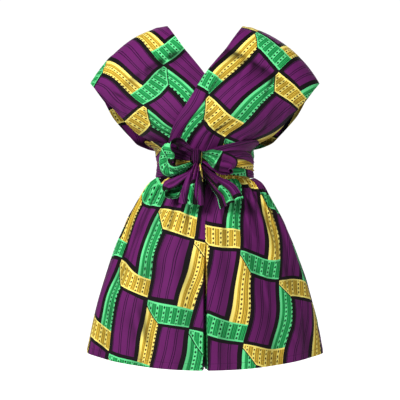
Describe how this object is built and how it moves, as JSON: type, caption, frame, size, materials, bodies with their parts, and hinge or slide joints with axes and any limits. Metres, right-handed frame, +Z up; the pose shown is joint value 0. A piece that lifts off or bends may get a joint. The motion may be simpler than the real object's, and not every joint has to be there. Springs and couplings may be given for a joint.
{
  "type": "multiway wrap romper",
  "caption": "Sleeveless wrap romper in printed cotton: broad crossed straps over the shoulders, a sash tied in a bow at the waist, and wide gathered shorts, filled out as worn.",
  "frame": {"origin": "midway between the wearer's shoulders, at the height where the straps lie on them", "axes": "+Z up along the body, +Y towards the back, +X towards the wearer's left"},
  "size_m": [0.5926, 0.3845, 0.8394],
  "materials": {
    "printed_cotton": "crisp plain-weave cotton with a geometric print, matte with a slight glaze"
  },
  "bodies": {
    "root": {"shorts_front_left": "printed_cotton", "shorts_back_left": "printed_cotton", "shorts_front_right": "printed_cotton", "shorts_back_right": "printed_cotton", "waistband": "printed_cotton", "strap_left_chest": "printed_cotton", "strap_left_behind": "printed_cotton", "strap_right_chest": "printed_cotton", "strap_right_behind": "printed_cotton", "sash_left": "printed_cotton", "sash_right": "printed_cotton", "bow_knot": "printed_cotton", "bow_loop_right": "printed_cotton", "bow_lobe_right": "printed_cotton", "bow_tail_right": "printed_cotton", "bow_loop_left": "printed_cotton", "bow_tail_left": "printed_cotton"}
  },
  "joints": []
}
